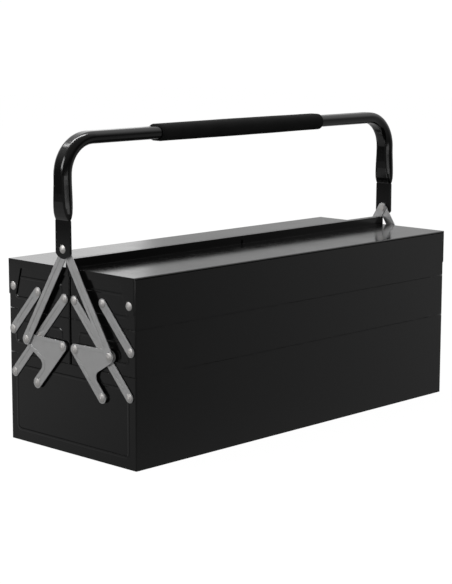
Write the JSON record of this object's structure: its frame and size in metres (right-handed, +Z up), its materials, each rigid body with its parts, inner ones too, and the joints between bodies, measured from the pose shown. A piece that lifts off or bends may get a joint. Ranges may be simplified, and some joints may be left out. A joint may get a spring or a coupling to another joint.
{
  "type": "cantilever tool box",
  "caption": "Black steel cantilever tool box: a deep base, two tiers of trays that swing out on riveted links, two hinged lids and one tubular handle with a foam grip.",
  "frame": {"origin": "on the ground under the middle of the box", "axes": "+X along the box and its handle bar, -Y out of the front long face, +Z up"},
  "size_m": [0.5382, 0.2, 0.3422],
  "materials": {
    "box_paint": "semi-gloss black powder coat",
    "handle_paint": "gloss black paint",
    "link_steel": "satin grey zinc plate",
    "rivet_steel": "satin steel",
    "grip_foam": "matt black closed-cell foam"
  },
  "bodies": {
    "root": {"base_box": "box_paint", "base_rivets": "rivet_steel"},
    "front_long_links": {"front_long_link_left": "link_steel", "front_long_link_right": "link_steel"},
    "front_middle": {"front_middle_tray": "box_paint", "front_middle_rivets": "rivet_steel"},
    "front_upper": {"front_upper_tray": "box_paint", "front_upper_rivets": "rivet_steel"},
    "front_lid": {"front_lid": "box_paint"},
    "front_short_links": {"front_short_link_left": "link_steel", "front_short_link_right": "link_steel"},
    "front_gussets": {"front_gusset_left": "link_steel", "front_gusset_right": "link_steel"},
    "back_long_links": {"back_long_link_left": "link_steel", "back_long_link_right": "link_steel"},
    "back_middle": {"back_middle_tray": "box_paint", "back_middle_rivets": "rivet_steel"},
    "back_upper": {"back_upper_tray": "box_paint", "back_upper_rivets": "rivet_steel"},
    "back_lid": {"back_lid": "box_paint"},
    "back_short_links": {"back_short_link_left": "link_steel", "back_short_link_right": "link_steel"},
    "back_gussets": {"back_gusset_left": "link_steel", "back_gusset_right": "link_steel"},
    "handle_pins": {"handle_pins": "rivet_steel"},
    "front_handle_links": {"front_handle_link_left": "link_steel", "front_handle_link_right": "link_steel", "front_link_rivets": "rivet_steel"},
    "back_handle_links": {"back_handle_link_left": "link_steel", "back_handle_link_right": "link_steel", "back_link_rivets": "rivet_steel"},
    "handle": {"handle_tube": "handle_paint", "handle_grip": "grip_foam"}
  },
  "joints": [
    {"name": "front_open", "type": "hinge", "parent": "root", "child": "front_long_links", "pos_m": [0, -0.09105, 0.07555], "axis": [1, 0, 0], "range_deg": [0, 85]},
    {"name": "front_middle_level", "type": "hinge", "parent": "front_long_links", "child": "front_middle", "pos_m": [0, -0.04945, 0.12045], "axis": [1, 0, 0], "range_deg": [-85, 0]},
    {"name": "front_upper_level", "type": "hinge", "parent": "front_long_links", "child": "front_upper", "pos_m": [0, -0.00785, 0.16535], "axis": [1, 0, 0], "range_deg": [-85, 0]},
    {"name": "front_short_swing", "type": "hinge", "parent": "front_middle", "child": "front_short_links", "pos_m": [0, -0.09295, 0.12265], "axis": [1, 0, 0], "range_deg": [0, 85]},
    {"name": "front_gusset_swing", "type": "hinge", "parent": "root", "child": "front_gussets", "pos_m": [0, -0.0515, 0.0695], "axis": [1, 0, 0], "range_deg": [0, 85]},
    {"name": "front_lid_open", "type": "hinge", "parent": "front_upper", "child": "front_lid", "pos_m": [0, -0.09155, 0.16975], "axis": [1, 0, 0], "range_deg": [0, 100]},
    {"name": "back_open", "type": "hinge", "parent": "root", "child": "back_long_links", "pos_m": [0, 0.09105, 0.07555], "axis": [-1, 0, 0], "range_deg": [0, 85]},
    {"name": "back_middle_level", "type": "hinge", "parent": "back_long_links", "child": "back_middle", "pos_m": [0, 0.04945, 0.12045], "axis": [-1, 0, 0], "range_deg": [-85, 0]},
    {"name": "back_upper_level", "type": "hinge", "parent": "back_long_links", "child": "back_upper", "pos_m": [0, 0.00785, 0.16535], "axis": [-1, 0, 0], "range_deg": [-85, 0]},
    {"name": "back_short_swing", "type": "hinge", "parent": "back_middle", "child": "back_short_links", "pos_m": [0, 0.09295, 0.12265], "axis": [-1, 0, 0], "range_deg": [0, 85]},
    {"name": "back_gusset_swing", "type": "hinge", "parent": "root", "child": "back_gussets", "pos_m": [0, 0.0515, 0.0695], "axis": [-1, 0, 0], "range_deg": [0, 85]},
    {"name": "back_lid_open", "type": "hinge", "parent": "back_upper", "child": "back_lid", "pos_m": [0, 0.09155, 0.16975], "axis": [-1, 0, 0], "range_deg": [0, 100]},
    {"name": "handle_drop", "type": "slide", "parent": "root", "child": "handle_pins", "axis": [0, 0, -1], "range_m": [0, 0.08568]},
    {"name": "front_handle_link_swing", "type": "hinge", "parent": "handle_pins", "child": "front_handle_links", "pos_m": [0, 0, 0.21917], "axis": [-1, 0, 0], "range_deg": [0, 20]},
    {"name": "back_handle_link_swing", "type": "hinge", "parent": "handle_pins", "child": "back_handle_links", "pos_m": [0, 0, 0.21917], "axis": [1, 0, 0], "range_deg": [0, 20]},
    {"name": "handle_swing", "type": "hinge", "parent": "handle_pins", "child": "handle", "pos_m": [0, 0, 0.21917], "axis": [1, 0, 0], "range_deg": [-72, 72]}
  ],
  "couplings": [
    {"joint": "front_middle_level", "follows": "front_open", "ratio": -1},
    {"joint": "front_upper_level", "follows": "front_open", "ratio": -1},
    {"joint": "front_short_swing", "follows": "front_open", "ratio": 1},
    {"joint": "front_gusset_swing", "follows": "front_open", "ratio": 1},
    {"joint": "back_open", "follows": "front_open", "ratio": 1},
    {"joint": "back_middle_level", "follows": "front_open", "ratio": -1},
    {"joint": "back_upper_level", "follows": "front_open", "ratio": -1},
    {"joint": "back_short_swing", "follows": "front_open", "ratio": 1},
    {"joint": "back_gusset_swing", "follows": "front_open", "ratio": 1},
    {"joint": "handle_drop", "follows": "front_open", "m_per_rad": 0.057752},
    {"joint": "front_handle_link_swing", "follows": "front_open", "ratio": 0.23527},
    {"joint": "back_handle_link_swing", "follows": "front_open", "ratio": 0.23527}
  ]
}
